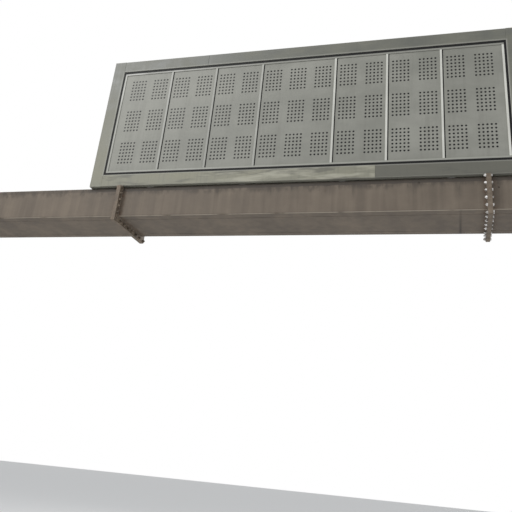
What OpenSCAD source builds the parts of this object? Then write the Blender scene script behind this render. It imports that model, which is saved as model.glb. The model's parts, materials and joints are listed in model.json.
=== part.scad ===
// Overhead sign gantry: a portal of box beams and box legs, bolted together at flanges,
// that carries a wide lamp sign above a carriageway.
// X runs along the beam, Y runs from the front of the sign to its back, Z is up.
// The origin lies on the ground, midway between the legs and under the middle of the beam.

/* [Portal] */
// Height of the beam's underside above the ground
clear_height = 5500; // [4500:50:6500]
// Distance between the middles of the two legs
leg_span = 18000; // [15000:100:21000]
// Height of the beam
beam_h = 520; // [450:10:600]
// Depth of the beam, front to back
beam_d = 956; // [860:10:1100]
// Width of a leg, seen from the front
leg_w = 500; // [400:10:600]
// Radius of the long corners of beam and legs
corner_r = 25; // [10:1:40]
// Length of the middle part of the beam, with its flanges
middle_length = 5830; // [4500:50:7000]
// Length of the beam stub on each leg, with its flange
stub_length = 450; // [300:10:800]
// Diameter of the two small holes in the beam's front
vent_d = 26; // [10:1:40]
// Depth of a small hole
vent_depth = 10; // [6:1:20]
// From the right splice joint to the small hole in the beam's right part
vent_x = 129; // [80:1:400]
// From the beam's top down to that hole
vent_down = 178; // [60:1:300]
// From the right splice joint to the small hole in the beam's middle part
middle_vent_x = 966; // [200:1:1400]
// From the beam's top down to that hole
middle_vent_down = 72; // [50:1:300]

/* [Weld grooves] */
// Width of a groove along the beam
seam_w = 8; // [4:1:12]
// Depth of a groove along the beam
seam_depth = 3; // [2:1:6]
// From the long edges of the beam to the grooves
seam_inset = 150; // [100:5:250]

/* [Flanges] */
// Thickness of one flange plate
flange_t = 32; // [20:1:45]
// How far a flange stands out in front, behind and below
flange_out = 95; // [70:1:120]
// How far a flange stands up over the beam
flange_up = 12; // [6:1:14]
// Radius of a flange's corners
flange_corner_r = 12; // [5:1:30]

/* [Feet of the legs] */
// Width of a base plate
plate_w = 900; // [820:10:1100]
// Depth of a base plate
plate_d = 1330; // [1280:10:1500]
// Thickness of a base plate
plate_t = 40; // [25:1:60]
// Diameter of an anchor hole
anchor_d = 52; // [36:1:60]
// From the edges of a base plate to its outer anchor holes
anchor_edge = 80; // [60:1:95]
// Distance between the two inner rows of anchor holes
anchor_inner = 370; // [250:10:480]
// Height of a stiffener
gusset_h = 360; // [200:10:500]
// Thickness of a stiffener
gusset_t = 20; // [12:1:30]
// Height of a stiffener's outer edge
gusset_toe = 50; // [20:5:90]
// From the rim of a base plate to the stiffeners
gusset_inset = 20; // [10:1:40]
// Distance between the stiffeners on a leg's front and back
gusset_pair = 250; // [200:10:320]

/* [Characters] */
// Columns of windows in one character
char_cols = 5; // [4:1:6]
// Rows of windows in one character
char_rows = 7; // [5:1:8]
// Windows left out between two characters
gap_cols = 2; // [1:1:3]
// Windows left out between two lines
gap_rows = 3; // [2:1:4]
// Lines of characters
text_lines = 3; // [2:1:3]
// Characters on each side panel
side_chars = 2; // [2:1:2]
// Characters on the middle panel
middle_chars = 3; // [2:1:3]
// Distance between columns of windows
col_pitch = 60; // [54:1:64]
// Distance between rows of windows
row_pitch = 63; // [56:0.5:68]
// Diameter of a window
window_d = 33; // [24:1:40]

/* [Sign face] */
// From the outer columns of windows to the side of the face
margin_side = 188; // [120:1:240]
// From the lowest row of windows to the bottom of the face
margin_bottom = 192; // [120:1:240]
// From the highest row of windows to the top of the face
margin_top = 182; // [120:1:240]
// Thickness of a face panel
panel_t = 4; // [3:1:8]
// Dark slit between two face panels
panel_slit = 18; // [12:1:30]
// From the middle between two characters to the middle of the slit
slit_shift = 21; // [12:1:26]
// Dark gap between the face and the trim at the sides and the bottom
face_gap = 36; // [15:1:45]
// Dark gap above the face
top_gap = 46; // [15:1:60]
// How far the seal in that gap lies behind the trim's front
seal_set = 12; // [8:1:18]
// How far the trim stands in front of the face
face_recess = 20; // [12:1:35]
// Width of the pale strips round the face and along its joints
strip_w = 32; // [16:1:36]
// Thickness of a strip
strip_t = 10; // [6:1:12]
// Gap between the end of an upright strip and a level one
strip_gap = 1; // [0.5:0.5:3]
// Thickness of a lamp board
board_t = 12; // [8:1:20]
// From a lamp board to the bars of the inner frame
board_gap = 12; // [8:1:20]

/* [Sign case] */
// Depth of the case with its trim
case_d = 500; // [400:10:560]
// Thickness of the case walls
wall_t = 5; // [4:1:8]
// Width of the trim bars
trim_w = 218; // [150:2:260]
// Thickness of the trim bars
trim_t = 50; // [40:1:80]
// Radius of the trim's front edges
trim_r = 8; // [4:1:20]
// Width of a joint in the trim
joint_w = 4; // [2:1:8]
// Depth of a joint in the trim
joint_depth = 4; // [2:1:8]
// From the left end of the top bar to its joint
top_joint = 1632; // [800:1:2400]
// From the right end of the bottom bar to its joint
bottom_joint = 1974; // [800:1:2400]
// Width of a seam in the back wall
seam_back_w = 5; // [3:1:8]
// Depth of a seam in the back wall
seam_back_depth = 2; // [1:0.5:3]
// Width of the inner frame's bars
frame_bar = 60; // [40:1:80]
// Depth of the inner frame's bars
frame_bar_d = 40; // [25:1:60]
// How far the sign stands in front of the beam
sign_lead = 50; // [20:1:80]

/* [Lifting eyes] */
// Distance between the lifting eyes
eye_spacing = 1060; // [600:10:2000]
// Diameter of the hole in an eye
eye_hole_d = 40; // [25:1:50]
// Height of an eye's hole above the case
eye_h = 75; // [60:1:100]
// Width of an eye plate
eye_w = 100; // [80:1:120]
// Thickness of an eye plate
eye_t = 20; // [12:1:30]
// Length and width of an eye's foot
eye_foot = 160; // [130:5:200]
// Thickness of an eye's foot
eye_foot_t = 10; // [6:1:15]

/* [Sign supports] */
// Height of the feet under the case
foot_h = 16; // [14:1:40]
// Width of a foot
foot_w = 100; // [60:5:140]
// From the edge of the beam to the front of a foot
foot_back = 30; // [28:1:60]
// Length of a foot
foot_length = 340; // [200:10:360]
// From the side of the case to the outer feet and posts
post_inset = 1100; // [800:10:1300]
// Width and depth of a post
post_w = 140; // [100:5:180]
// Thickness of a post's flanges
post_flange = 12; // [8:1:16]
// Thickness of a post's web
post_web = 8; // [6:1:12]
// Width of a post's foot plate
post_foot_w = 260; // [200:5:320]
// Depth of a post's foot plate
post_foot_d = 320; // [300:5:340]
// Thickness of a post's foot plate
post_foot_t = 20; // [12:1:30]
// How far a post's foot plate stands out in front of the post
post_lip = 40; // [20:1:45]
// Height of the rib behind a post
post_rib_h = 220; // [120:10:350]
// Length of the rib behind a post
post_rib = 120; // [80:5:140]
// How far a post rises past the middle of the top rail
post_over = 110; // [60:5:200]
// Height of a rail
rail_h = 80; // [60:5:120]
// Depth of a rail
rail_d = 50; // [30:1:60]
// Wall thickness of a rail
rail_t = 5; // [4:1:8]
// From the ends of the case to the ends of the rails
rail_end = 200; // [50:10:400]
// From the top and bottom of the case to the middles of the outer rails
rail_edge = 320; // [200:10:450]

/* [Hidden] */
$fn = 32;

// How far a cut reaches past the face that it starts in
cut = 1;

// Beam and joints
beam_top = clear_height + beam_h;
beam_front = -beam_d / 2;
leg_x = leg_span / 2;
corner_x = leg_x - leg_w / 2 - stub_length;
splice_x = middle_length / 2;

// Face: characters, windows and panels
char_step = char_cols + gap_cols;
line_step = char_rows + gap_rows;
panel_chars = [side_chars, side_chars, side_chars, middle_chars, side_chars, side_chars, side_chars];
panels = len(panel_chars);
function chars_before(i) = i == 0 ? 0 : panel_chars[i - 1] + chars_before(i - 1);
line_chars = chars_before(panels);
field_w = (line_chars * char_step - gap_cols - 1) * col_pitch;
field_h = (text_lines * line_step - gap_rows - 1) * row_pitch;
face_w = field_w + 2 * margin_side;
face_h = field_h + margin_bottom + margin_top;
opening_w = face_w + 2 * face_gap;
opening_h = face_h + face_gap + top_gap;
case_w = opening_w + 2 * trim_w;
case_h = opening_h + 2 * trim_w;

// Places of the sign
sign_front = beam_front - sign_lead;
sign_back = sign_front + case_d;
case_z = beam_top + foot_h;
face_z = case_z + trim_w + face_gap;
face_front = sign_front + face_recess;
face_back = face_front + panel_t;
seal_front = sign_front + seal_set;
wall_front = sign_front + trim_t;
wall_depth = case_d - trim_t;

// Middle of the slit to the left of panel i, and the edges of panels and inner bars
char_gap = (gap_cols + 1) * col_pitch;
function slit_x(i) = -field_w / 2 + chars_before(i) * char_step * col_pitch - char_gap / 2 + slit_shift;
function panel_left(i) = i == 0 ? -face_w / 2 : slit_x(i) + panel_slit / 2;
function panel_right(i) = i == panels - 1 ? face_w / 2 : slit_x(i + 1) - panel_slit / 2;
function bar_right(i) = i == 0 ? -face_w / 2 + frame_bar : slit_x(i) + frame_bar / 2;
function bar_left(i) = i == panels - 1 ? face_w / 2 - frame_bar : slit_x(i + 1) - frame_bar / 2;

// Supports
posts = 4;
post_x = [for (k = [0:posts - 1]) (case_w / 2 - post_inset) * (2 * k / (posts - 1) - 1)];
post_front = sign_back + rail_d;
post_mid = post_front + post_w / 2;
rail_mid = [case_z + rail_edge, case_z + case_h / 2, case_z + case_h - rail_edge];
post_top = rail_mid[2] + post_over;
eye_z = case_z + case_h;
eye_y = sign_front + case_d / 2;

steel = [0.50, 0.47, 0.43];
flange_steel = [0.44, 0.41, 0.37];
case_grey = [0.52, 0.52, 0.49];
face_grey = [0.56, 0.57, 0.54];
strip_grey = [0.72, 0.72, 0.68];
dark = [0.06, 0.06, 0.06];
zinc = [0.62, 0.63, 0.63];

// A box from its lowest corner
module block(x, y, z, w, d, h) {
    translate([x, y, z]) cube([w, d, h]);
}

// A flat outline with rounded corners, about its middle
module rounded(w, h, r) {
    square([w - 2 * r, h], center = true);
    square([w, h - 2 * r], center = true);
    for (sx = [-1, 1], sy = [-1, 1])
        translate([sx * (w / 2 - r), sy * (h / 2 - r)]) circle(r);
}

// An outline in Y and Z, drawn out along X
module along_x(x, length) {
    translate([x, 0, 0]) rotate([90, 0, 90]) linear_extrude(length) children();
}

// A length of box beam with grooves along its top and underside
module beam(x, length) {
    color(steel) along_x(x, length) translate([0, clear_height + beam_h / 2]) difference() {
        rounded(beam_d, beam_h, corner_r);
        for (sy = [-1, 1], sz = [-1, 1])
            translate([sy * (beam_d / 2 - seam_inset), sz * beam_h / 2])
                square([seam_w, 2 * seam_depth], center = true);
    }
}

// What a small hole takes out of the beam's front
module vent(x, down) {
    translate([x, beam_front - cut, beam_top - down]) rotate([-90, 0, 0])
        cylinder(d = vent_d, h = vent_depth + cut);
}

module beam_middle() {
    difference() {
        beam(-splice_x + flange_t, 2 * (splice_x - flange_t));
        vent(splice_x - middle_vent_x, middle_vent_down);
    }
}

module beam_right() {
    difference() {
        beam(splice_x + flange_t, corner_x - splice_x - 2 * flange_t);
        vent(splice_x + vent_x, vent_down);
    }
}

// Two flange plates, back to back about x
module flange_pair(x) {
    low = clear_height - flange_out;
    high = beam_top + flange_up;
    color(flange_steel) for (side = [-1, 0])
        along_x(x + side * flange_t, flange_t) translate([0, (low + high) / 2])
            rounded(beam_d + 2 * flange_out, high - low, flange_corner_r);
}

// A box leg with the stub that points to the other leg
module leg(side) {
    color(steel) translate([side * leg_x, 0, plate_t])
        linear_extrude(beam_top - plate_t) rounded(leg_w, beam_d, corner_r);
    inner = leg_x - leg_w / 2;
    reach = stub_length - flange_t;
    beam(side > 0 ? inner - reach : -inner, reach);
}

module base_plate(side) {
    color(steel) translate([side * leg_x, 0, 0]) difference() {
        translate([0, 0, plate_t / 2]) cube([plate_w, plate_d, plate_t], center = true);
        for (sx = [-1, 1], y = [anchor_inner / 2, plate_d / 2 - anchor_edge], sy = [-1, 1])
            translate([sx * (plate_w / 2 - anchor_edge), sy * y, -cut])
                cylinder(d = anchor_d, h = plate_t + 2 * cut);
    }
}

// A stiffener standing on the ground plate, from the leg's face out to its toe
module gusset(reach) {
    rotate([90, 0, 0]) translate([0, 0, -gusset_t / 2]) linear_extrude(gusset_t)
        polygon([[0, 0], [reach, 0], [reach, gusset_toe], [gusset_toe, gusset_h], [0, gusset_h]]);
}

module base_stiffeners(side) {
    side_y = (anchor_inner / 2 + plate_d / 2 - anchor_edge) / 2;
    color(steel) translate([side * leg_x, 0, plate_t]) {
        for (turn = [0, 180], y = [-side_y, 0, side_y])
            rotate([0, 0, turn]) translate([leg_w / 2, y, 0])
                gusset((plate_w - leg_w) / 2 - gusset_inset);
        for (turn = [90, 270], x = [-1, 1])
            rotate([0, 0, turn]) translate([beam_d / 2, x * gusset_pair / 2, 0])
                gusset((plate_d - beam_d) / 2 - gusset_inset);
    }
}

module case_lid(z) {
    color(case_grey) block(-case_w / 2, wall_front, z, case_w, wall_depth, wall_t);
}

module case_side(x) {
    color(case_grey) block(x, wall_front, case_z + wall_t, wall_t, wall_depth, case_h - 2 * wall_t);
}

// The back wall, with a seam in line with each joint of the face
module case_back() {
    color(case_grey) difference() {
        block(-case_w / 2 + wall_t, sign_back - wall_t, case_z + wall_t,
            case_w - 2 * wall_t, wall_t, case_h - 2 * wall_t);
        for (i = [1:panels - 1])
            block(slit_x(i) - seam_back_w / 2, sign_back - seam_back_depth, case_z,
                seam_back_w, 2 * seam_back_depth, case_h);
    }
}

// Section of a trim bar from its outer front edge: depth, then width
module trim_section() {
    for (w = [trim_r, trim_w - trim_r]) translate([trim_r, w]) circle(trim_r);
    translate([trim_r, 0]) square([trim_t - trim_r, trim_w]);
    translate([0, trim_r]) square([trim_t, trim_w - 2 * trim_r]);
}

// A level bar of the trim between the uprights, with a joint across its front
module trim_bar(z, inwards, joint_x) {
    color(case_grey) difference() {
        along_x(-opening_w / 2, opening_w) translate([sign_front, z])
            mirror([0, inwards < 0 ? 1 : 0]) trim_section();
        block(joint_x - joint_w / 2, sign_front - cut, case_z - cut,
            joint_w, joint_depth + cut, case_h + 2 * cut);
    }
}

module trim_upright(side) {
    color(case_grey) translate([side * case_w / 2, sign_front, case_z]) linear_extrude(case_h)
        mirror([side < 0 ? 1 : 0, 0]) rotate(90) trim_section();
}

// The seal in the gap round the face, with the bars behind it and behind each panel joint
module inner_frame() {
    color(dark) difference() {
        block(-opening_w / 2, seal_front, face_z - face_gap,
            opening_w, face_back + frame_bar_d - seal_front, opening_h);
        block(-face_w / 2, seal_front - cut, face_z, face_w, face_back - seal_front + cut, face_h);
        for (i = [0:panels - 1])
            block(bar_right(i), face_back - cut, face_z + frame_bar,
                bar_left(i) - bar_right(i), frame_bar_d + 2 * cut, face_h - 2 * frame_bar);
    }
}

// The windows of one character, from its lowest left one
module character() {
    for (c = [0:char_cols - 1], r = [0:char_rows - 1])
        translate([c * col_pitch, r * row_pitch]) circle(d = window_d);
}

// One face panel with a round hole for each lamp
module face_panel(i) {
    color(face_grey) translate([0, face_back, face_z]) rotate([90, 0, 0]) linear_extrude(panel_t)
        difference() {
            translate([panel_left(i), 0]) square([panel_right(i) - panel_left(i), face_h]);
            for (k = [0:panel_chars[i] - 1], line = [0:text_lines - 1])
                translate([-field_w / 2 + (chars_before(i) + k) * char_step * col_pitch,
                    margin_bottom + line * line_step * row_pitch]) character();
        }
}

// Level strips along the top and bottom of the face, and upright ones at its left end and at
// the right edge of each panel
module joint_strips() {
    inset = strip_w + strip_gap;
    color(strip_grey) translate([0, face_front - strip_t, face_z]) {
        for (z = [0, face_h - strip_w])
            block(-face_w / 2, 0, z, face_w, strip_t, strip_w);
        for (x = concat([-face_w / 2], [for (i = [0:panels - 1]) panel_right(i) - strip_w]))
            block(x, 0, inset, strip_w, strip_t, face_h - 2 * inset);
    }
}

module lamp_boards() {
    color(dark) for (i = [0:panels - 1])
        block(bar_right(i) + board_gap, face_back, face_z + frame_bar + board_gap,
            bar_left(i) - bar_right(i) - 2 * board_gap, board_t,
            face_h - 2 * frame_bar - 2 * board_gap);
}

// A round-topped plate with a hole, on a flat foot
module lifting_eyes() {
    color(zinc) for (side = [-1, 1]) translate([side * eye_spacing / 2, eye_y, eye_z]) {
        translate([0, 0, eye_foot_t / 2]) cube([eye_foot, eye_foot, eye_foot_t], center = true);
        rotate([90, 0, 90]) translate([0, 0, -eye_t / 2]) linear_extrude(eye_t) difference() {
            union() {
                translate([-eye_w / 2, 0]) square([eye_w, eye_h]);
                translate([0, eye_h]) circle(d = eye_w);
            }
            translate([0, eye_h]) circle(d = eye_hole_d);
        }
    }
}

// Flat bars, front to back under the case
module case_feet() {
    color(zinc) for (x = post_x)
        block(x - foot_w / 2, beam_front + foot_back, beam_top, foot_w, foot_length, foot_h);
}

// An upright of I section on a foot plate, with a rib behind it
module post(k) {
    stand = beam_top + post_foot_t;
    color(zinc) translate([post_x[k], post_mid, 0]) {
        block(-post_foot_w / 2, -post_w / 2 - post_lip, beam_top, post_foot_w, post_foot_d, post_foot_t);
        for (y = [-post_w / 2, post_w / 2 - post_flange])
            block(-post_w / 2, y, stand, post_w, post_flange, post_top - stand);
        block(-post_web / 2, -post_w / 2, stand, post_web, post_w, post_top - stand);
        translate([post_flange / 2, post_w / 2, stand]) rotate([90, 0, -90])
            linear_extrude(post_flange)
                polygon([[0, 0], [-post_rib, 0], [0, post_rib_h]]);
    }
}

// Level channels on the back of the case, open downwards
module rear_rails() {
    color(zinc) for (z = rail_mid)
        along_x(-case_w / 2 + rail_end, case_w - 2 * rail_end) difference() {
            translate([sign_back, z - rail_h / 2]) square([rail_d, rail_h]);
            translate([sign_back + rail_t, z - rail_h / 2 - cut])
                square([rail_d - 2 * rail_t, rail_h - rail_t + cut]);
        }
}

leg(-1);  // leg_left
leg(1);  // leg_right
base_plate(-1);  // base_plate_left
base_plate(1);  // base_plate_right
base_stiffeners(-1);  // base_stiffeners_left
base_stiffeners(1);  // base_stiffeners_right
flange_pair(-corner_x);  // corner_flanges_left
flange_pair(corner_x);  // corner_flanges_right
beam(-corner_x + flange_t, corner_x - splice_x - 2 * flange_t);  // beam_left
beam_middle();
beam_right();
flange_pair(-splice_x);  // splice_flanges_left
flange_pair(splice_x);  // splice_flanges_right
case_lid(case_z + case_h - wall_t);  // case_top
case_lid(case_z);  // case_bottom
case_side(-case_w / 2);  // case_left
case_side(case_w / 2 - wall_t);  // case_right
case_back();
trim_bar(case_z + case_h, -1, -opening_w / 2 + top_joint);  // trim_top
trim_bar(case_z, 1, opening_w / 2 - bottom_joint);  // trim_bottom
trim_upright(-1);  // trim_left
trim_upright(1);  // trim_right
inner_frame();
face_panel(0);  // face_panel_1
face_panel(1);  // face_panel_2
face_panel(2);  // face_panel_3
face_panel(3);  // face_panel_4
face_panel(4);  // face_panel_5
face_panel(5);  // face_panel_6
face_panel(6);  // face_panel_7
joint_strips();
lamp_boards();
lifting_eyes();
case_feet();
post(0);  // post_1
post(1);  // post_2
post(2);  // post_3
post(3);  // post_4
rear_rails();
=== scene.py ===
import json
from math import radians

import bpy
import numpy as np
from mathutils import Matrix, Vector


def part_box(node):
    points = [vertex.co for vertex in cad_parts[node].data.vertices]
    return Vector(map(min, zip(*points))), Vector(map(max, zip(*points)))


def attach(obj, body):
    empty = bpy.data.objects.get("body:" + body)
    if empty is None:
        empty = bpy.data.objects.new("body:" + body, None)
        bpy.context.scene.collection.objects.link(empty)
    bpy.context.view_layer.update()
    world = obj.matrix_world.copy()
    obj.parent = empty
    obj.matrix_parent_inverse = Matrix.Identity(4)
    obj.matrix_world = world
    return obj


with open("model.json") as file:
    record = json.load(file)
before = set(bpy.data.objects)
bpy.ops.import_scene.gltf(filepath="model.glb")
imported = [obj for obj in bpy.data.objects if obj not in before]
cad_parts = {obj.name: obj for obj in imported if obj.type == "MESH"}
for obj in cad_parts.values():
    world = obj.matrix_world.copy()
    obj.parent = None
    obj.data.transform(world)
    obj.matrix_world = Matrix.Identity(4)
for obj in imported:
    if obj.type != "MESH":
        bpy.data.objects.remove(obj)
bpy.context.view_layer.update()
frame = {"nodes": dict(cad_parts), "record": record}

nodes = frame["nodes"]
print("frame loaded:", len(nodes), "nodes")


# Places read from the frame, in metres
def low(name):
    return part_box(name)[0]


def high(name):
    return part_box(name)[1]


def middle(name, axis):
    return (low(name)[axis] + high(name)[axis]) / 2


beamTop, beamUnder = high("beam_middle").z, low("beam_middle").z
beamFront, beamBack = low("beam_middle").y, high("beam_middle").y
signFront, signBack = low("trim_left").y, high("case_back").y
signUnder, signTop = low("trim_left").z, high("trim_left").z
signLeft, signRight = low("trim_left").x, high("trim_right").x
trimBack, faceBack = high("trim_left").y, high("face_panel_1").y
faceLeft = low("face_panel_1").x
faceUnder, faceTop = low("face_panel_1").z, high("face_panel_1").z
openingHalf = high("trim_bottom").x
openingUnder, openingTop = high("trim_bottom").z, low("trim_top").z
spliceX, cornerX = middle("splice_flanges_right", 0), middle("corner_flanges_right", 0)
postNames = ["post_1", "post_2", "post_3", "post_4"]
flangeNames = ["splice_flanges_left", "splice_flanges_right",
               "corner_flanges_left", "corner_flanges_right"]


# Camera: it stands on the road, right of the sign's middle, and looks up at the sign
cameraView = {
    "right": 2.365,         # of the sign's middle
    "before": 8.917,        # the trim's front
    "below": 4.324,         # the sign's lower edge
    "turnLeft": 18.011,     # in degrees, as the next two
    "tiltUp": 24.261,
    "roll": 5.894,
    "focalPixels": 655.7,
    "imagePixels": 512,
    "axisPixels": 186.95,   # the lens axis, down from the picture's upper edge
    "sensorWide": 36,       # in millimetres
    "farLimit": 1000,
}


def makeCamera(view):
    data = bpy.data.cameras.new("camera")
    data.sensor_width = view["sensorWide"]
    data.lens = data.sensor_width * view["focalPixels"] / view["imagePixels"]
    data.shift_y = view["axisPixels"] / view["imagePixels"] - 0.5
    data.clip_end = view["farLimit"]
    camera = bpy.data.objects.new("camera", data)
    bpy.context.scene.collection.objects.link(camera)
    place = Vector((view["right"], signFront - view["before"], signUnder - view["below"]))
    turn = (Matrix.Rotation(radians(view["turnLeft"]), 4, "Z")
            @ Matrix.Rotation(radians(90 + view["tiltUp"]), 4, "X")
            @ Matrix.Rotation(radians(view["roll"]), 4, "Z"))
    camera.matrix_world = Matrix.Translation(place) @ turn
    bpy.context.scene.camera = camera


makeCamera(cameraView)


class Wire:
    # One output socket in a material; sums and products on it add Math nodes
    def __init__(self, paint, socket):
        self.paint = paint
        self.socket = socket

    def math(self, operation, first, second=0.0):
        return self.paint.node("ShaderNodeMath", {"operation": operation}, {0: first, 1: second})

    def __add__(self, other):
        return self.math("ADD", self, other)

    def __radd__(self, other):
        return self.math("ADD", other, self)

    def __sub__(self, other):
        return self.math("SUBTRACT", self, other)

    def __rsub__(self, other):
        return self.math("SUBTRACT", other, self)

    def __mul__(self, other):
        return self.math("MULTIPLY", self, other)

    def __rmul__(self, other):
        return self.math("MULTIPLY", other, self)

    def __abs__(self):
        return self.math("ABSOLUTE", self)

    def atLeast(self, other):
        return self.math("MAXIMUM", self, other)


class Paint:
    # A node material, or the world's, while it is put together
    def __init__(self, name, world=None):
        holder = world or bpy.data.materials.new(name)
        holder.use_nodes = True
        self.holder = holder
        self.tree = holder.node_tree
        self.tree.nodes.clear()

    def node(self, kind, settings=None, values=None, output=0):
        made = self.tree.nodes.new(kind)
        for key, value in (settings or {}).items():
            setattr(made, key, value)
        for key, value in (values or {}).items():
            if isinstance(value, Wire):
                self.tree.links.new(value.socket, made.inputs[key])
            else:
                made.inputs[key].default_value = value
        return Wire(self, made.outputs[output])

    def axis(self, name):
        at = self.node("ShaderNodeTexCoord", output="Object")
        return self.node("ShaderNodeSeparateXYZ", {}, {0: at}, output=name)

    def facing(self, name):
        normal = self.node("ShaderNodeNewGeometry", output="Normal")
        return self.node("ShaderNodeSeparateXYZ", {}, {0: normal}, output=name)

    def here(self, scale, turn=(0.0, 0.0, 0.0)):
        at = self.node("ShaderNodeTexCoord", output="Object")
        return self.node("ShaderNodeMapping", {}, {"Vector": at, "Scale": scale, "Rotation": turn})

    def noise(self, scale, detail=4.0, rough=0.55, turn=(0.0, 0.0, 0.0)):
        # scale is the number of blots in a metre along each axis
        return self.node("ShaderNodeTexNoise", {}, {
            "Vector": self.here(scale, turn), "Scale": 1.0, "Detail": detail, "Roughness": rough})

    def fade(self, value, start, end):
        # 0 where value is at start, 1 where it is at end, smooth between
        return self.node("ShaderNodeMapRange", {"interpolation_type": "SMOOTHSTEP"},
                         {0: value, 1: start, 2: end, 3: 0.0, 4: 1.0})

    def clouds(self, scale, start, end, **shape):
        # The noise, faded from start to end
        return self.fade(self.noise(scale, **shape), start, end)

    def near(self, value, place, reach):
        # 1 where value is at place, 0 from reach away
        return self.fade(abs(value - place), reach, reach * 0.15)

    def mix(self, amount, first, second):
        return self.node("ShaderNodeMix", {"data_type": "RGBA"},
                         {0: amount, 6: first, 7: second}, output=2)

    def bump(self, height, strength, distance, after=None):
        values = {"Height": height, "Strength": strength, "Distance": distance}
        if after:
            values["Normal"] = after
        return self.node("ShaderNodeBump", {}, values)

    def shade(self, colour, roughness, metallic=0.0, normal=None, specular=0.5):
        values = {"Base Color": colour, "Roughness": roughness, "Metallic": metallic,
                  "Specular IOR Level": specular}
        if normal:
            values["Normal"] = normal
        shader = self.node("ShaderNodeBsdfPrincipled", {}, values)
        end = self.tree.nodes.new("ShaderNodeOutputMaterial")
        self.tree.links.new(shader.socket, end.inputs["Surface"])
        return self.holder


def grey(level, warm=0.0):
    return (level * (1 + warm), level, level * (1 - warm), 1.0)


# Weathered steel of beams and legs: tone bands, patches and upright blocks, dirt that hangs down
# from the top edge, a painted shadow of the sign along the beam's top, runs and stains, painted
# highlights along the lower long edges, dirt beside the joints and road splash on the legs. An
# amount is the strength of a layer, from 0 to 1
steelLook = {
    "pale": (0.196, 0.159, 0.121, 1.0),
    "deep": (0.108, 0.085, 0.063, 1.0),
    "dirt": (0.045, 0.036, 0.028, 1.0),
    "rust": (0.130, 0.064, 0.034, 1.0),
    "glint": (0.470, 0.415, 0.340, 1.0),
    "hangStart": 0.075,     # where the hanging dirt ends, below the beam's top
    "hangFull": 0.020,      # where it would be full, above it
    "hangRagged": 0.192,    # how far its end wavers
    "hangAmount": 0.62,
    "streakAmount": 0.11,
    "shadowReach": 0.082,     # depth of the painted shadow of the sign, below the beam's top
    "shadowFull": 0.72,       # part of that reach at full strength
    "shadowWave": 0.030,
    "shadowAmount": 0.90,
    "shadowLoss": 0.55,       # taken off the painted shadow past the sign's ends
    "glintReach": 0.017,     # from the lower long edges
    "glintFull": 0.004,
    "glintAmount": 0.95,
    "jointReach": 0.15,     # from the middle of a flange joint
    "jointRust": 0.55,
    "spotRust": 0.40,
    "splash": 1.1,          # height of the road dirt on the legs
    "splashAmount": 0.20,
    # Runs down the beam's front: place, top, half width, length, strength
    "runs": [(-1.20, 6.000, 0.060, 0.30, 0.9), (-0.32, 5.970, 0.080, 0.24, 0.9),
             (0.03, 5.985, 0.030, 0.15, 1.0), (0.61, 5.970, 0.150, 0.26, 0.8),
             (0.99, 5.985, 0.045, 0.32, 1.1), (1.12, 5.970, 0.170, 0.14, 1.0),
             (1.48, 5.985, 0.035, 0.18, 1.2), (1.86, 5.960, 0.130, 0.24, 0.7),
             (2.50, 6.000, 0.090, 0.42, 1.0)],
    "runFull": 0.25,        # part of a run's length at full strength
    "stain": (2.517, 0.034),        # across the beam's underside: place, half width
    "stainAmount": 0.8,
}


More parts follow.
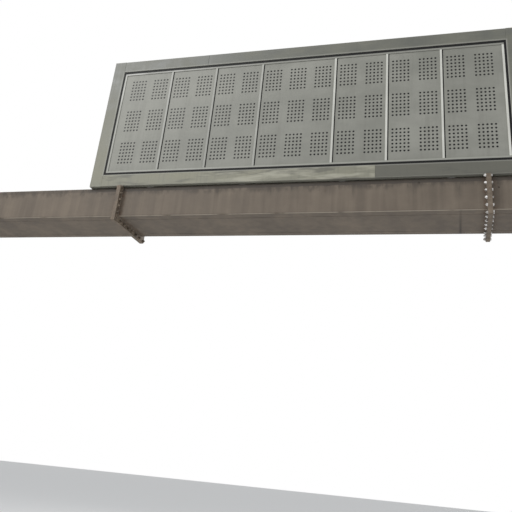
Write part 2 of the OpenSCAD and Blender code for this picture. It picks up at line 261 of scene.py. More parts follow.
def steelPaint(name, look):
    paint = Paint(name)
    x, y, z = (paint.axis(letter) for letter in "XYZ")
    up = paint.facing("Z")
    upright = 1 - paint.fade(up * up, 0.15, 0.6)
    frontal = paint.fade(paint.facing("Y"), -0.3, -0.8)
    dirt, rust = look["dirt"], look["rust"]

    bands = paint.clouds((2.4, 0.5, 0.12), 0.36, 0.66, detail=3.0)
    patches = paint.clouds((1.6, 1.6, 2.2), 0.35, 0.7, detail=6.0, rough=0.6)
    blocks = paint.clouds((7.0, 7.0, 0.7), 0.40, 0.62, detail=2.5)
    tone = bands * 0.36 + patches * 0.34 + blocks * 0.30
    colour = paint.mix(tone, look["deep"], look["pale"])

    ragged = paint.noise((9.0, 9.0, 0.4), detail=3.0, rough=0.6) * look["hangRagged"]
    hanging = paint.fade(z + ragged, beamTop - look["hangStart"], beamTop + look["hangFull"])
    clots = paint.clouds((11.0, 11.0, 6.0), 0.36, 0.60, detail=6.0, rough=0.62)
    colour = paint.mix(hanging * clots * upright * look["hangAmount"], colour, dirt)
    streaks = paint.clouds((22.0, 22.0, 0.9), 0.52, 0.72)
    colour = paint.mix(streaks * upright * look["streakAmount"], colour, dirt)

    # Painted shadow of the sign on the beam: a dark wavy band below the beam's top, weaker past the
    # sign's ends
    wave, reach = look["shadowWave"], look["shadowReach"]
    wavy = z + paint.noise((6.0, 6.0, 0.5)) * wave - wave / 2
    edge = paint.fade(wavy, beamTop - reach, beamTop - reach * look["shadowFull"]) * upright
    besideSign = paint.fade(abs(x), signRight - 0.05, signRight + 0.10)
    colour = paint.mix(edge * (look["shadowAmount"] - besideSign * look["shadowLoss"]), colour, dirt)

    for place, top, half, length, strength in look["runs"]:
        down = (paint.fade(z, top - length, top - length * look["runFull"])
                * paint.fade(z, top + 0.006, top - 0.004))
        ragged = paint.noise((30.0, 30.0, 5.0))
        run = paint.near(x, place, half) * down * frontal * ragged
        colour = paint.mix(run * strength, colour, dirt)
    place, half = look["stain"]
    wide = paint.fade(y, beamFront, beamBack) * 0.8 + 0.4
    stain = paint.fade(abs(x - place), half, 0.0) * wide * paint.fade(up, -0.6, -0.9)
    colour = paint.mix(stain * look["stainAmount"], colour, dirt)

    reach = look["jointReach"]
    beside = paint.near(abs(x), spliceX, reach) + paint.near(abs(x), cornerX, reach)
    browned = paint.clouds((14.0, 14.0, 9.0), 0.40, 0.66, detail=6.0, rough=0.65)
    colour = paint.mix(beside * browned * look["jointRust"], colour, rust)
    splash = paint.fade(z, look["splash"], 0.02)
    colour = paint.mix(splash * (patches * 0.35 + look["splashAmount"]), colour, dirt)
    spots = paint.clouds((7.0, 7.0, 5.0), 0.66, 0.76, detail=8.0, rough=0.7)
    colour = paint.mix(spots * look["spotRust"], colour, rust)

    # Painted highlights: pale thin lines along the beam's lower long edges, where the rounded edges catch
    # light; there the steel is also less rough
    reach, full = look["glintReach"], look["glintFull"]
    edgeGlint = (paint.fade(abs(z - beamUnder), reach, full)
            * paint.fade(abs(y), beamBack - reach, beamBack - full)
            * paint.fade(abs(x), cornerX + 0.02, cornerX - 0.02)
            * paint.clouds((2.2, 2.2, 2.2), 0.36, 0.52, detail=6.0))
    colour = paint.mix(edgeGlint * look["glintAmount"], colour, look["glint"])

    grain = paint.noise((90.0, 90.0, 90.0), detail=3.0)
    relief = paint.bump(grain, 0.18, 0.002)
    relief = paint.bump(patches, 0.25, 0.003, relief)
    return paint.shade(colour, 0.56 + tone * 0.16 + grain * 0.1 - edgeGlint * 0.2, normal=relief)


# Flange plates: the same steel, browner, with rust clouds and specks
flangeLook = {
    "pale": (0.215, 0.170, 0.125, 1.0),
    "deep": (0.112, 0.085, 0.060, 1.0),
    "rust": (0.125, 0.062, 0.033, 1.0),
    "speckAmount": 0.55,
}


def flangePaint(name, look):
    paint = Paint(name)
    cloud = paint.clouds((6.0, 6.0, 6.0), 0.35, 0.68, detail=7.0, rough=0.65)
    colour = paint.mix(cloud, look["deep"], look["pale"])
    specks = paint.clouds((34.0, 34.0, 34.0), 0.54, 0.68, detail=6.0, rough=0.7)
    colour = paint.mix(specks * look["speckAmount"], colour, look["rust"])
    relief = paint.bump(paint.noise((120.0, 120.0, 120.0)), 0.25, 0.002)
    return paint.shade(colour, 0.58 + cloud * 0.18, normal=relief)


# Coat of the case and the trim: matt grey, darker at the top and paler towards its foot, with
# runs, faint scuffs, painted highlights along the trim's edges and on its fold round the opening,
# and nearly black on the fold below the face. The lower trim has wiped smears left of its joint and
# is darker right of it
coatLook = {
    "clean": (0.104, 0.108, 0.094, 1.0),
    # Paler tone towards the foot and in the clouds
    "dusty": (0.268, 0.259, 0.192, 1.0),
    "wet": (0.088, 0.087, 0.073, 1.0),
    "wiped": (0.420, 0.408, 0.325, 1.0),
    # Pale tone of the scuffs and of the painted highlights on the trim's edges
    "edge": (0.330, 0.328, 0.290, 1.0),
    # Nearly black, on the lower trim's fold
    "dirt": (0.020, 0.019, 0.017, 1.0),
    "cloudAmount": 0.30,
    "footAmount": 0.58,
    "runAmount": 0.22,
    "scuffAmount": 0.25,
    "dampAmount": 0.6,
    "wipedAmount": 0.66,
    "wipedFrom": -2.4,      # where the smears begin along X
    "wipedFull": -0.6,      # where they are full
    "rightAmount": 0.80,    # of the darker tone right of the joint
    "rimReach": 0.014,      # from the outer edges of the trim
    "rimHighlight": 0.45,
    "fold": 0.008,          # radius of the trim's inner edge
    "foldHighlight": 0.50,
    "innerReach": 0.020,    # from there to the end of the painted highlight
    "sharp": 0.004,         # width of a sharp end of a layer
}


def coatPaint(name, look, joint=None):
    paint = Paint(name)
    x, y, z = (paint.axis(letter) for letter in "XYZ")
    sharp = look["sharp"]
    cloud = paint.clouds((1.3, 1.3, 2.4), 0.3, 0.72, detail=6.0, rough=0.6)
    # Darker at the top, paler towards the foot
    foot = paint.fade(z, signTop, signUnder)
    colour = paint.mix(cloud * look["cloudAmount"] + foot * look["footAmount"],
                       look["clean"], look["dusty"])
    runs = paint.clouds((17.0, 17.0, 1.2), 0.47, 0.7, rough=0.6)
    colour = paint.mix(runs * look["runAmount"], colour, look["wet"])
    scuffs = paint.clouds((3.0, 3.0, 46.0), 0.60, 0.74, detail=5.0, rough=0.6)
    colour = paint.mix(scuffs * look["scuffAmount"], colour, look["edge"])

    if joint is not None:
        right = paint.fade(x, joint - sharp / 2, joint + sharp / 2)
        smear = (paint.clouds((1.4, 1.4, 9.0), 0.47, 0.61, detail=5.0, rough=0.5,
                              turn=(0.0, 0.22, 0.0))
                 * (1 - right) * paint.fade(x, look["wipedFrom"], look["wipedFull"]))
        damp = paint.clouds((1.1, 1.1, 7.0), 0.46, 0.36, turn=(0.0, 0.16, 0.0))
        colour = paint.mix(damp * look["dampAmount"], colour, look["wet"])
        colour = paint.mix(smear * look["wipedAmount"], colour, look["wiped"])
        colour = paint.mix(right * look["rightAmount"], colour, look["wet"])

    # Painted highlights: paler bands along the trim's upper and lower outer edges and round the opening,
    # and a paler fold
    reach = look["rimReach"]
    outer = (paint.fade(z, signTop - reach, signTop - sharp / 2)
             + paint.fade(z, signUnder + reach, signUnder + sharp / 2))
    # Distance outside the opening: the larger of the two distances past its sides and its ends
    beyondX = abs(x) - openingHalf
    beyondZ = abs(z - (openingTop + openingUnder) / 2) - (openingTop - openingUnder) / 2
    beyond = beyondX.atLeast(beyondZ)
    fold = look["fold"]
    onTrim = paint.fade(y, trimBack + sharp, trimBack)
    inner = paint.fade(beyond, fold + look["innerReach"], fold + sharp) * onTrim
    folded = paint.fade(beyond, fold, fold * 0.5) * onTrim
    colour = paint.mix(outer.atLeast(inner) * look["rimHighlight"] + folded * look["foldHighlight"],
                       colour, look["edge"])
    # Nearly black along the lower trim's fold below the face
    lower = paint.fade(z, openingUnder + sharp, openingUnder - sharp)
    colour = paint.mix(folded * lower, colour, look["dirt"])
    relief = paint.bump(paint.noise((260.0, 260.0, 260.0), detail=2.0), 0.12, 0.0008)
    return paint.shade(colour, 0.46 + cloud * 0.14 - runs * 0.05, normal=relief)


# Face panels: matt grey, a little speckled, with faint dusty runs
faceLook = {
    "clean": (0.207, 0.208, 0.180, 1.0),
    "dusty": (0.280, 0.279, 0.245, 1.0),
    "speck": (0.112, 0.109, 0.092, 1.0),
    "runAmount": 0.16,
    "speckAmount": 0.24,
}


def facePaint(name, look):
    paint = Paint(name)
    cloud = paint.clouds((0.9, 0.9, 1.5), 0.3, 0.7, detail=5.0, rough=0.6)
    colour = paint.mix(cloud, look["clean"], look["dusty"])
    runs = paint.clouds((11.0, 11.0, 0.8), 0.48, 0.7)
    colour = paint.mix(runs * look["runAmount"], colour, look["speck"])
    specks = paint.clouds((48.0, 48.0, 48.0), 0.56, 0.72, detail=5.0, rough=0.7)
    colour = paint.mix(specks * look["speckAmount"], colour, look["speck"])
    relief = paint.bump(paint.noise((300.0, 300.0, 300.0), detail=2.0), 0.12, 0.0008)
    return paint.shade(colour, 0.52 + cloud * 0.1, normal=relief)


# Strips: pale along the joints, with painted light that makes them paler towards the right, near
# the face's own tone along its left, upper and lower edges, and darker just above the face's lower
# edge
stripLook = {
    "deep": (0.258, 0.258, 0.229, 1.0),
    "pale": (0.660, 0.658, 0.600, 1.0),
    "low": (0.305, 0.305, 0.268, 1.0),
    "high": (0.236, 0.236, 0.208, 1.0),
    "dirt": (0.040, 0.039, 0.034, 1.0),
    "cloudAmount": 0.25,
    "litAmount": 0.75,
    "litFrom": -1.3,       # along X
    "litFull": 1.2,
    "width": 0.032,
    "sharp": 0.001,
    "darkHigh": 0.005,      # above the face's lower edge
}


def stripPaint(name, look):
    paint = Paint(name)
    x, z = paint.axis("X"), paint.axis("Z")
    cloud = paint.clouds((5.0, 5.0, 1.6), 0.35, 0.7, detail=5.0)
    # Painted light: the strips grow paler from left to right, as if lit more on the right
    litRightwards = paint.fade(x, look["litFrom"], look["litFull"])
    colour = paint.mix(cloud * look["cloudAmount"] + litRightwards * look["litAmount"],
                       look["deep"], look["pale"])
    width, sharp = look["width"], look["sharp"]
    left = paint.fade(x, faceLeft + width + sharp, faceLeft + width)
    under = paint.fade(z, faceUnder + width + sharp, faceUnder + width)
    over = paint.fade(z, faceTop - width - sharp, faceTop - width)
    for edge, tone in ((left, "low"), (under, "low"), (over, "high")):
        colour = paint.mix(edge, colour, look[tone])
    # Darker within a few millimetres above the face's lower edge
    darkHigh = look["darkHigh"]
    darkFoot = paint.fade(z, faceUnder + darkHigh, faceUnder + darkHigh * 0.6)
    colour = paint.mix(darkFoot, colour, look["dirt"])
    relief = paint.bump(paint.noise((200.0, 200.0, 60.0), detail=2.0), 0.1, 0.0008)
    return paint.shade(colour, 0.40 + cloud * 0.12, normal=relief)


# Seal and lamp boards, nearly black with dust
darkLook = {"clean": grey(0.005), "dusty": grey(0.018, 0.05), "dustAmount": 0.5, "rough": 0.62}


def darkPaint(name, look):
    paint = Paint(name)
    dust = paint.clouds((14.0, 14.0, 14.0), 0.5, 0.75, detail=5.0)
    colour = paint.mix(dust * look["dustAmount"], look["clean"], look["dusty"])
    return paint.shade(colour, look["rough"] + dust * 0.2, specular=0.25)


# Lenses, nearly black and glossier
lensLook = {"clean": grey(0.004), "dusty": grey(0.014, 0.05), "dustAmount": 0.5, "rough": 0.26}


def lensPaint(name, look):
    paint = Paint(name)
    dust = paint.clouds((60.0, 60.0, 60.0), 0.45, 0.7, detail=3.0)
    colour = paint.mix(dust * look["dustAmount"], look["clean"], look["dusty"])
    return paint.shade(colour, look["rough"] + dust * 0.25, specular=0.30)


# Zinc: crystal flakes, clouds and dull runs
zincLook = {
    "level": 0.40,
    "darkest": 0.70,        # as a part of that level, like the next two
    "palest": 1.15,
    "run": 0.45,
    "runAmount": 0.20,
    "flakes": 38.0,         # in a metre
    "metallic": 0.55,
}


def zincPaint(name, look):
    paint = Paint(name)
    flakes = paint.node("ShaderNodeTexVoronoi", {}, {
        "Vector": paint.here((look["flakes"],) * 3), "Scale": 1.0}, output="Color")
    lightness = paint.node("ShaderNodeSeparateXYZ", {}, {0: flakes}, output="X")
    tone = lightness * 0.35 + paint.clouds((3.0, 3.0, 3.0), 0.35, 0.7, detail=6.0) * 0.65
    level = look["level"]
    colour = paint.mix(tone, grey(level * look["darkest"], 0.02), grey(level * look["palest"], 0.01))
    runs = paint.clouds((30.0, 30.0, 1.4), 0.52, 0.70)
    colour = paint.mix(runs * look["runAmount"], colour, grey(level * look["run"], 0.06))
    return paint.shade(colour, 0.42 + tone * 0.16, metallic=look["metallic"])


# Bolts: each one dull or bright by a wide cloud, with small brown stains
boltStain = (0.16, 0.11, 0.07, 1.0)
newBoltLook = {"dull": grey(0.40, 0.05), "bright": grey(0.86, 0.02), "rough": 0.24, "metallic": 0.85}
oldBoltLook = {"dull": grey(0.16, 0.12), "bright": grey(0.34, 0.08), "rough": 0.42, "metallic": 0.85}
brownBoltLook = {"dull": (0.100, 0.076, 0.055, 1.0), "bright": (0.240, 0.190, 0.142, 1.0),
                 "rough": 0.55, "metallic": 0.25}


def boltPaint(name, look):
    paint = Paint(name)
    cloud = paint.clouds((11.0, 11.0, 11.0), 0.42, 0.60, detail=2.0)
    colour = paint.mix(cloud, look["dull"], look["bright"])
    stains = paint.clouds((70.0, 70.0, 70.0), 0.55, 0.7)
    colour = paint.mix(stains * 0.4, colour, boltStain)
    return paint.shade(colour, look["rough"] + cloud * 0.12 + stains * 0.15,
                       metallic=look["metallic"])


# Weld seams in the steel's tones, with rust
def weldPaint(name, look):
    paint = Paint(name)
    cloud = paint.clouds((20.0, 20.0, 20.0), 0.35, 0.7, detail=5.0)
    colour = paint.mix(cloud, look["deep"], look["pale"])
    rust = paint.clouds((26.0, 26.0, 26.0), 0.56, 0.7, detail=5.0)
    colour = paint.mix(rust * 0.4, colour, look["rust"])
    return paint.shade(colour, 0.55 + cloud * 0.15)


bottomJoint = 1.310         # place of the lower trim's joint along X
paints = {
    "steel": steelPaint("weathered_steel", steelLook),
    "flange": flangePaint("flange_steel", flangeLook),
    "coat": coatPaint("case_coat", coatLook),
    "coatJoint": coatPaint("lower_trim_coat", coatLook, bottomJoint),
    "face": facePaint("face_coat", faceLook),
    "strip": stripPaint("pale_strip", stripLook),
    "dark": darkPaint("dark_seal", darkLook),
    "lens": lensPaint("lamp_lens", lensLook),
    "zinc": zincPaint("dull_zinc", zincLook),
    "newBolt": boltPaint("new_zinc_bolt", newBoltLook),
    "oldBolt": boltPaint("old_zinc_bolt", oldBoltLook),
    "browned": boltPaint("browned_bolt", brownBoltLook),
    "weld": weldPaint("painted_weld", steelLook),
}
slotPaints = {"beam_steel": "steel", "flange_steel": "flange", "case_paint": "coat",
              "face_paint": "face", "strip_paint": "strip", "dark_parts": "dark", "zinc": "zinc"}
for part in frame["record"]["subparts"]:
    paintName = "coatJoint" if part["node"] == "trim_bottom" else slotPaints[part["material_slot"]]
    materials = nodes[part["node"]].data.materials
    materials.clear()
    materials.append(paints[paintName])
print("materials made:", len(paints))


def gridFaces(rows, columns, ring=False):
    # Quads between neighbouring points of a grid whose columns run round; ring joins the last row
    # to the first as well
    row = np.arange(rows if ring else rows - 1)[:, None]
    column = np.arange(columns)[None, :]
    after, nextRow = (column + 1) % columns, (row + 1) % rows
    quads = np.stack([row * columns + column, row * columns + after,
                      nextRow * columns + after, nextRow * columns + column], axis=-1)
    return quads.reshape(-1, 4)


def makePiece(name, parts, paint, sharp=35):
    # parts is a list of (points in metres, list of face arrays with one row for each face)
    points, groups, start = [], {}, 0
    for partPoints, partFaces in parts:
        for faces in partFaces:
            groups.setdefault(faces.shape[1], []).append(faces + start)
        points.append(partPoints)
        start += len(partPoints)
    points = np.concatenate(points)
    faces = [np.concatenate(group) for group in groups.values()]
    corners = np.concatenate([part.ravel() for part in faces])
    totals = np.concatenate([np.full(len(part), part.shape[1]) for part in faces])
    starts = np.concatenate([[0], np.cumsum(totals)[:-1]])
    mesh = bpy.data.meshes.new(name)
    mesh.vertices.add(len(points))
    mesh.vertices.foreach_set("co", points.astype(np.float32).ravel())
    mesh.loops.add(len(corners))
    mesh.loops.foreach_set("vertex_index", corners.astype(np.int32))
    mesh.polygons.add(len(totals))
    mesh.polygons.foreach_set("loop_start", starts.astype(np.int32))
    mesh.update(calc_edges=True)
    mesh.shade_smooth()
    mesh.set_sharp_from_angle(angle=radians(sharp))
    mesh.materials.append(paints[paint])
    piece = bpy.data.objects.new(name, mesh)
    bpy.context.scene.collection.objects.link(piece)
    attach(piece, "root")
    print("piece", name, "with", len(totals), "faces")


def stampTurned(places, axis, rings, sides, turns=None):
    # A turned shape at every place: ring i has radius r and height h along axis, and a six-sided
    # ring is r / cos(angle to the nearest flat). Point = place + h axis + r (cos u + sin v)
    places = np.asarray(places, dtype=float)
    axis = np.asarray(axis, dtype=float)
    across = np.cross(axis, [0.0, 0.0, 1.0] if abs(axis[2]) < 0.9 else [1.0, 0.0, 0.0])
    upwards = np.cross(axis, across)
    radius, height, sixSided = np.array(rings, dtype=float).T
    angle = np.linspace(0, 2 * np.pi, sides, endpoint=False)
    fromFlat = (angle + np.pi / 6) % (np.pi / 3) - np.pi / 6
    reach = radius[:, None] * np.where(sixSided[:, None] > 0, 1 / np.cos(fromFlat)[None, :], 1.0)
    turned = angle[None, :] + (np.zeros(len(places)) if turns is None else turns)[:, None]
    spread = np.cos(turned)[..., None] * across + np.sin(turned)[..., None] * upwards
    points = (places[:, None, None, :] + height[None, :, None, None] * axis
              + reach[None, :, :, None] * spread[:, None, :, :])
    count = len(rings) * sides
    shift = np.arange(len(places))[:, None, None] * count
    quads = (gridFaces(len(rings), sides)[None] + shift).reshape(-1, 4)
    first = (np.arange(sides)[::-1][None, None] + shift).reshape(-1, sides)
    last = (np.arange(sides)[None, None] + count - sides + shift).reshape(-1, sides)
    return points.reshape(-1, 3), [quads, first, last]


# Profile of every bolt: parts of its own sizes, and the thread's chamfer in metres
boltShape = {
    "washerSide": 0.8,      # straight part of a washer's rim
    "washerTop": 0.97,
    "chamfer": 0.15,        # height of a head's rounded edge, as a part of "flat"
    "crown": 0.96,
    "threadChamfer": 0.002,
    "threadTip": 0.85,
}
rng = np.random.default_rng(7)


def boltRings(bolt, nut):
    # Washer, then a six-sided head or nut with its edge rounded off, then the thread's end
    shape, washer, thick, flat = boltShape, bolt["washer"], bolt["washerThick"], bolt["flat"]
    top = thick + (bolt["nutHigh"] if nut else bolt["headHigh"])
    rings = [(washer, 0, 0), (washer, thick * shape["washerSide"], 0),
             (washer * shape["washerTop"], thick, 0), (flat, thick, 1),
             (flat, top - flat * shape["chamfer"], 1), (flat * shape["crown"], top, 0)]
    if nut:
        thread, end = bolt["thread"], top + bolt["threadOut"]
        rings += [(thread, top, 0), (thread, end - shape["threadChamfer"], 0),
                  (thread * shape["threadTip"], end, 0)]
    return rings


def boltSet(places, way, bolt, nut=False):
    # Bolts along way at all places, each turned by chance within a sixth of a turn
    turns = rng.uniform(0, np.pi / 3, len(places))
    return stampTurned(places, way, boltRings(bolt, nut), bolt["sides"], turns)


# Flange bolts, all along X: heads on one side of a pair of plates, nuts with thread ends on the
# other
flangeBolts = {
    "flat": 0.0205,         # from the axis to a flat of head and nut
    "washer": 0.022,
    "washerThick": 0.004,
    "headHigh": 0.015,
    "nutHigh": 0.020,
    "thread": 0.012,
    "threadOut": 0.012,
    "out": 0.060,           # from the beam's faces to the bolts
    "topDown": 0.012,       # from the beam's top to the uppermost bolts
    "frontCount": 6,
    "underCount": 6,        # between the corner bolts
    "sides": 12,
}


def makeFlangeBolts(bolt):
    front, back, lower = beamFront - bolt["out"], beamBack + bolt["out"], beamUnder - bolt["out"]
    heights = np.linspace(beamTop - bolt["topDown"], lower, bolt["frontCount"])
    depths = np.linspace(front, back, bolt["underCount"] + 2)[1:-1]
    around = np.array([(y, z) for y in (front, back) for z in heights]
                      + [(y, lower) for y in depths])
    for name in flangeNames:
        parts = []
        for x, way, nut in ((low(name).x, -1, name.endswith("right")),
                            (high(name).x, 1, name.endswith("left"))):
            places = np.column_stack([np.full(len(around), x), around])
            parts.append(boltSet(places, (way, 0, 0), bolt, nut))
        paint = "newBolt" if name == "splice_flanges_right" else "browned"
        makePiece(name.replace("flanges", "bolts"), parts, paint)


makeFlangeBolts(flangeBolts)


# Bolts of the sign's supports: through the posts' foot plates, the rails and the eyes' feet
supportBolts = {
    "flat": 0.015,
    "washer": 0.0185,
    "washerThick": 0.003,
    "headHigh": 0.0125,
    "nutHigh": 0.016,
    "thread": 0.010,
    "threadOut": 0.009,
    "footAside": 0.100,     # from a post's middle
    "footInset": 0.045,     # from the front and back of its foot plate
    "footPlate": 0.020,     # thickness of that plate
    "railAside": 0.040,     # from a post's middle, through its front flange
    "flange": 0.012,        # thickness of that flange
    "railEdge": 0.320,      # from the case's top and bottom to the middles of the outer rails
    "eyeAside": 0.055,      # from the middle of an eye's foot
    "eyeFoot": 0.010,       # thickness of an eye's foot
    "eyeSpacing": 1.060,
    "sides": 12,
}
eyeHalf, eyeY = supportBolts["eyeSpacing"] / 2, middle("lifting_eyes", 1)
railMiddles = np.array([signUnder + supportBolts["railEdge"], (signUnder + signTop) / 2,
                        signTop - supportBolts["railEdge"]])


def makeSupportBolts(bolt):
    postX = np.array([middle(name, 0) for name in postNames])
    footFront, footBack = low("post_1").y + bolt["footInset"], high("post_1").y - bolt["footInset"]
    foot = [(x + side * bolt["footAside"], y, beamTop + bolt["footPlate"])
            for x in postX for side in (-1, 1) for y in (footFront, footBack)]
    makePiece("post_foot_bolts", [boltSet(foot, (0, 0, 1), bolt, True)], "oldBolt")
    flangeBack = high("rear_rails").y + bolt["flange"]
    rail = [(x + side * bolt["railAside"], flangeBack, z)
            for x in postX for side in (-1, 1) for z in railMiddles]
    makePiece("rail_bolts", [boltSet(rail, (0, 1, 0), bolt, True)], "oldBolt")
    aside = bolt["eyeAside"]
    eye = [(side * eyeHalf + across * aside, eyeY + along * aside, signTop + bolt["eyeFoot"])
           for side in (-1, 1) for across in (-1, 1) for along in (-1, 1)]
    makePiece("eye_bolts", [boltSet(eye, (0, 0, 1), bolt)], "oldBolt")


makeSupportBolts(supportBolts)


# Round-headed screws that hold the case's walls: along the back wall's edges and seams, and behind
# the trim on the top, the underside and both sides
caseScrews = {
    "radius": 0.0065,
    "high": 0.0035,
    "shoulder": 0.92,       # radius at shoulderHigh of the height
    "shoulderHigh": 0.6,
    "crown": 0.5,           # radius at the top
    "inset": 0.030,         # from the edges of a wall
    "pitch": 0.300,
    "panels": 7,
    "besideSeam": 0.022,
    "railClear": 0.055,     # from the middle of a rail
    "railEnd": 0.185,       # from the case's ends to where rails are kept clear
    "sides": 8,
}


def makeCaseScrews(screw):
    def spaced(start, end):
        # Places from start to end, about a pitch apart
        return np.linspace(start, end, max(2, int(round((end - start) / screw["pitch"])) + 1))

    inset = screw["inset"]
    left, right, lower, upper = (signLeft + inset, signRight - inset,
                                 signUnder + inset, signTop - inset)
    acrossX, upZ = spaced(left, right), spaced(lower, upper)
    seams = []
    for number in range(1, screw["panels"]):
        seam = (high("face_panel_%d" % number).x + low("face_panel_%d" % (number + 1)).x) / 2
        seams += [seam - screw["besideSeam"], seam + screw["besideSeam"]]
    back = np.array([(x, z) for x in acrossX for z in (lower, upper)]
                    + [(x, z) for x in (left, right, *seams) for z in upZ[1:-1]])
    byRail = np.abs(back[:, 1:] - railMiddles).min(axis=1) < screw["railClear"]
    byRail &= (back[:, 0] > signLeft + screw["railEnd"]) & (back[:, 0] < signRight - screw["railEnd"])
    back = back[~byRail]

    front, rear = trimBack + inset, signBack - inset
    flat = [(x, y) for x in acrossX for y in (front, rear)]
    upright = [(y, z) for z in upZ for y in (front, rear)]
    walls = [((0, 1, 0), [(x, signBack, z) for x, z in back]),
             ((0, 0, 1), [(x, y, signTop) for x, y in flat]),
             ((0, 0, -1), [(x, y, signUnder) for x, y in flat]),
             ((-1, 0, 0), [(signLeft, y, z) for y, z in upright]),
             ((1, 0, 0), [(signRight, y, z) for y, z in upright])]
    radius, tall = screw["radius"], screw["high"]
    rings = [(radius, 0, 0), (radius * screw["shoulder"], tall * screw["shoulderHigh"], 0),
             (radius * screw["crown"], tall, 0)]
    parts = [stampTurned(places, way, rings, screw["sides"]) for way, places in walls]
    makePiece("case_screws", parts, "oldBolt")


makeCaseScrews(caseScrews)


# Lamp lenses: a low dome in every window
lampWindows = {
    "characters": 15,
    "lines": 3,
    "columns": 5,
    "rows": 7,
    "freeColumns": 2,
    "freeRows": 3,
    "columnPitch": 0.060,
    "rowPitch": 0.063,
    "marginUnder": 0.192,   # from the face's lower edge to the lowest row
    "lensRadius": 0.0135,
    "lensHigh": 0.0025,
    "domeRings": 4,
    "domePart": 0.8,        # of the way from the rim to the middle
    "sides": 12,
    "smoothTo": 80,         # degrees between faces that still shade smooth
}


def makeLenses(grid):
    # Columns and rows are counted on one grid, and the free ones are left out. A lens is half a
    # flattened sphere, cut off near its top: ring radius r cos a, height h sin a
    columnStep, rowStep = grid["columns"] + grid["freeColumns"], grid["rows"] + grid["freeRows"]
    column = np.arange(grid["characters"] * columnStep - grid["freeColumns"])
    row = np.arange(grid["lines"] * rowStep - grid["freeRows"])
    column, row = column[column % columnStep < grid["columns"]], row[row % rowStep < grid["rows"]]
    x = (column - column.max() / 2) * grid["columnPitch"]
    z = faceUnder + grid["marginUnder"] + row * grid["rowPitch"]
    x, z = np.meshgrid(x, z)
    places = np.column_stack([x.ravel(), np.full(x.size, faceBack), z.ravel()])
    rise = np.linspace(0, np.pi / 2 * grid["domePart"], grid["domeRings"])
    rings = [(grid["lensRadius"] * np.cos(a), grid["lensHigh"] * np.sin(a), 0) for a in rise]
    makePiece("lamp_lenses", [stampTurned(places, (0, -1, 0), rings, grid["sides"])],
              "lens", sharp=grid["smoothTo"])
    print("windows:", x.size)


makeLenses(lampWindows)


# Welds. The section lies on the two sides of a corner and is carried along the line; its bulge
# swells and shrinks by a sine of the distance
welds = {
    "step": 0.025,
    "wave": 0.12,
    "waveTurn": 2.1,        # radians in a step
    "sink": 0.0006,         # into the metal
    "baseLeg": 0.014,
    "stiffenerLeg": 0.009,
    "flangeLeg": 0.009,
    "stubLeg": 0.011,
    "postLeg": 0.007,
    "cornerRadius": 0.025,
    "cornerPoints": 5,
    "stiffenerThick": 0.020,
    "stiffenerHigh": 0.360,
    "rimInset": 0.020,      # from the rim of a base plate to the stiffeners
    "sideY": 0.385,         # stiffeners on a leg's sides
    "frontX": 0.125,        # stiffeners on its front and back
    "postWide": 0.140,      # width and depth of a post
    "webHalf": 0.004,
    "ribLong": 0.115,
    "ribLow": 0.006,        # above the foot plate
    "ribHigh": 0.215,
    "eyeLong": 0.048,       # half the weld's length along an eye
    "eyePlateHalf": 0.010,  # half an eye's thickness
}
fillet = np.array([(0, 0), (1, 0), (0.64, 0.40), (0.40, 0.64), (0, 1)])
upwards, downwards = (0, 0, 1), (0, 0, -1)


def weldAlong(points, sideA, sideB, leg, ring=False):
    points = np.asarray(points, dtype=float)
    sideA = np.broadcast_to(np.asarray(sideA, dtype=float), points.shape)
    sideB = np.broadcast_to(np.asarray(sideB, dtype=float), points.shape)
    distance = np.concatenate([[0], np.cumsum(np.linalg.norm(np.diff(points, axis=0), axis=1))])
    swell = 1 + welds["wave"] * np.sin(distance / welds["step"] * welds["waveTurn"])
    section = fillet * leg
    if np.dot(np.cross(sideA[0], sideB[0]), points[1] - points[0]) < 0:
        section = section[::-1]
    shape = section[None] * swell[:, None, None] - welds["sink"]
    mesh = points[:, None] + shape[..., :1] * sideA[:, None] + shape[..., 1:] * sideB[:, None]
    rows, columns = len(points), len(section)
    faces = [gridFaces(rows, columns, ring)]
    if not ring:
        faces += [np.arange(columns)[::-1][None], (np.arange(columns) + (rows - 1) * columns)[None]]
    return mesh.reshape(-1, 3), faces


def weldLine(start, end, sideA, sideB, leg):
    start, end = np.asarray(start, dtype=float), np.asarray(end, dtype=float)
    count = max(3, int(np.linalg.norm(end - start) / welds["step"]))
    points = start + np.linspace(0, 1, count)[:, None] * (end - start)
    return weldAlong(points, sideA, sideB, leg)


def roundedLoop(halfWide, halfHigh, radius):
    # Points and outward normals round a rectangle with round corners, evenly along its straight
    # sides: an arc about each corner's centre, then the side to the next one
    turn = np.linspace(0, np.pi / 2, welds["cornerPoints"])
    points, normals = [], []
    for quarter, (sx, sy) in enumerate(((1, 1), (-1, 1), (-1, -1), (1, -1))):
        angle = turn + quarter * np.pi / 2
        normal = np.column_stack([np.cos(angle), np.sin(angle)])
        arc = np.array([sx * (halfWide - radius), sy * (halfHigh - radius)]) + radius * normal
        length = 2 * (halfHigh - radius if quarter % 2 else halfWide - radius)
        run = np.arange(1, int(length / welds["step"]))[:, None] / int(length / welds["step"])
        way = np.array([-normal[-1, 1], normal[-1, 0]]) * length
        points += [arc, arc[-1] + run * way]
        normals += [normal, np.repeat(normal[-1:], len(run), axis=0)]
    return np.concatenate(points), np.concatenate(normals)


def makeFlangeWelds(weld):
    # Round the beam on both sides of each flange joint
    loop, normal = roundedLoop((beamBack - beamFront) / 2, (beamTop - beamUnder) / 2,
                               weld["cornerRadius"])
    height = loop[:, 1] + (beamTop + beamUnder) / 2
    outward = np.column_stack([np.zeros(len(loop)), normal])
    parts = []
    for name in flangeNames:
        for x, way in ((low(name).x, -1), (high(name).x, 1)):
            points = np.column_stack([np.full(len(loop), x), loop[:, 0], height])
            parts.append(weldAlong(points, outward, (way, 0, 0), weld["flangeLeg"], ring=True))
    makePiece("flange_welds", parts, "weld")


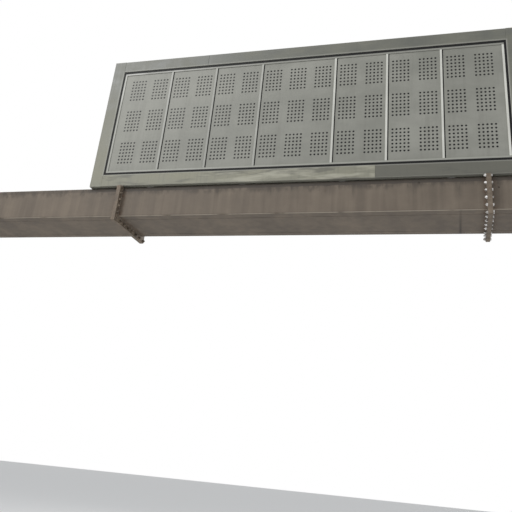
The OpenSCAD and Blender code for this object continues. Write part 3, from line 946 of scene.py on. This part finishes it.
def makeLegWelds(weld):
    # Round each leg on its base plate, along every stiffener, and under the stub
    parts = []
    for name, inwards in (("left", 1), ("right", -1)):
        plate, x = high("base_plate_" + name), middle("base_plate_" + name, 0)
        outerX = low("leg_left").x if name == "left" else high("leg_right").x
        legHalf, depth = abs(x - outerX), beamBack
        loop, normal = roundedLoop(legHalf, depth, weld["cornerRadius"])
        points = np.column_stack([loop[:, 0] + x, loop[:, 1], np.full(len(loop), plate.z)])
        outward = np.column_stack([normal, np.zeros(len(loop))])
        parts.append(weldAlong(points, outward, upwards, weld["baseLeg"], ring=True))

        leg, inset = weld["stiffenerLeg"], weld["rimInset"]
        reachX, reachY = plate.x - x - inset, plate.y - inset
        stiffeners = [((s, 0, 0), (0, 1, 0), (s * legHalf, y, 0), (s * reachX, y, 0))
                      for s in (-1, 1) for y in (-weld["sideY"], 0, weld["sideY"])]
        stiffeners += [((0, s, 0), (1, 0, 0),
                        (t * weld["frontX"], s * depth, 0), (t * weld["frontX"], s * reachY, 0))
                       for s in (-1, 1) for t in (-1, 1)]
        for along, aside, start, end in stiffeners:
            for side in (-1, 1):
                way = np.array(aside) * side
                foot = np.array((x, 0, plate.z)) + way * weld["stiffenerThick"] / 2
                first, last = foot + start, foot + end
                parts.append(weldLine(first, last, way, upwards, leg))
                parts.append(weldLine(first, first + (0, 0, weld["stiffenerHigh"]), way, along, leg))

        face, inside = x + inwards * legHalf, beamBack - weld["cornerRadius"]
        parts.append(weldLine((face, -inside, beamUnder), (face, inside, beamUnder),
                              (inwards, 0, 0), downwards, weld["stubLeg"]))
    makePiece("leg_welds", parts, "weld")


def makePostWelds(weld):
    # Posts on their foot plates and eyes on their feet, front and back of each flange or plate
    parts = []

    def seam(start, end, sideA, sideB):
        parts.append(weldLine(start, end, sideA, sideB, weld["postLeg"]))

    half, foot, flange = weld["postWide"] / 2, beamTop + supportBolts["footPlate"], supportBolts["flange"]
    front = high("rear_rails").y
    back = front + weld["postWide"]
    for name in postNames:
        x = middle(name, 0)
        for y, way in ((front, -1), (front + flange, 1), (back - flange, -1)):
            seam((x - half, y, foot), (x + half, y, foot), (0, way, 0), upwards)
        for side in (-1, 1):
            sideways = (side, 0, 0)
            web, rib = x + side * weld["webHalf"], x + side * flange / 2
            seam((web, front + flange, foot), (web, back - flange, foot), sideways, upwards)
            seam((rib, back, foot), (rib, back + weld["ribLong"], foot), sideways, upwards)
            seam((rib, back, foot + weld["ribHigh"]), (rib, back, foot + weld["ribLow"]),
                 sideways, (0, 1, 0))
    footTop, reach = signTop + supportBolts["eyeFoot"], weld["eyeLong"]
    for eyeX in (-eyeHalf, eyeHalf):
        for side in (-1, 1):
            x = eyeX + side * weld["eyePlateHalf"]
            seam((x, eyeY - reach, footTop), (x, eyeY + reach, footTop), (side, 0, 0), upwards)
    makePiece("post_welds", parts, "zinc")


makeFlangeWelds(welds)
makeLegWelds(welds)
makePostWelds(welds)


# Light: an even pale sky, a large soft lamp high to the left of the sign, one to its right and
# one behind
studio = {
    "skyStrength": 0.62,
    "skyColour": (0.95, 0.97, 1.0, 1.0),
    "backdrop": (1.0, 1.0, 1.0, 1.0),
    "floorColour": (0.80, 0.80, 0.79, 1.0),
    "floorRough": 0.9,
    "floorHalf": 400.0,
    "lamps": [
        {"place": (-10.0, -11.0, 17.0), "aim": (-1.5, -0.5, 6.5), "size": 5.0, "power": 1500.0},
        {"place": (16.0, -17.0, 9.0), "aim": (2.0, 0.0, 6.0), "size": 10.0, "power": 400.0},
        {"place": (4.0, 18.0, 12.0), "aim": (0.0, 0.0, 6.0), "size": 9.0, "power": 900.0},
    ],
}


def makeStudio(light):
    bpy.ops.mesh.primitive_plane_add(size=2 * light["floorHalf"])
    floor = bpy.context.object
    floor.name = "floor"
    floor.data.materials.append(Paint("floor").shade(light["floorColour"], light["floorRough"]))
    world = bpy.data.worlds.new("sky")
    bpy.context.scene.world = world
    # The backdrop is for the camera and for reflections, the sky's light for everything else
    sky = Paint("sky", world)
    seen = sky.node("ShaderNodeLightPath", output="Is Camera Ray")
    for ray in ("Is Glossy Ray", "Is Transmission Ray"):
        seen = seen.atLeast(sky.node("ShaderNodeLightPath", output=ray))
    lighting = sky.node("ShaderNodeBackground", {},
                        {"Color": light["skyColour"], "Strength": light["skyStrength"]})
    shown = sky.node("ShaderNodeBackground", {}, {"Color": light["backdrop"], "Strength": 1.0})
    mixed = sky.node("ShaderNodeMixShader", {}, {0: seen, 1: lighting, 2: shown})
    end = sky.tree.nodes.new("ShaderNodeOutputWorld")
    sky.tree.links.new(mixed.socket, end.inputs["Surface"])
    for number, lamp in enumerate(light["lamps"]):
        data = bpy.data.lights.new("lamp_%d" % number, "AREA")
        data.size = lamp["size"]
        data.energy = lamp["power"]
        holder = bpy.data.objects.new(data.name, data)
        bpy.context.scene.collection.objects.link(holder)
        way = Vector(lamp["aim"]) - Vector(lamp["place"])
        turn = way.to_track_quat("-Z", "Y").to_matrix().to_4x4()
        holder.matrix_world = Matrix.Translation(lamp["place"]) @ turn


makeStudio(studio)
bpy.context.scene.view_settings.view_transform = "Standard"
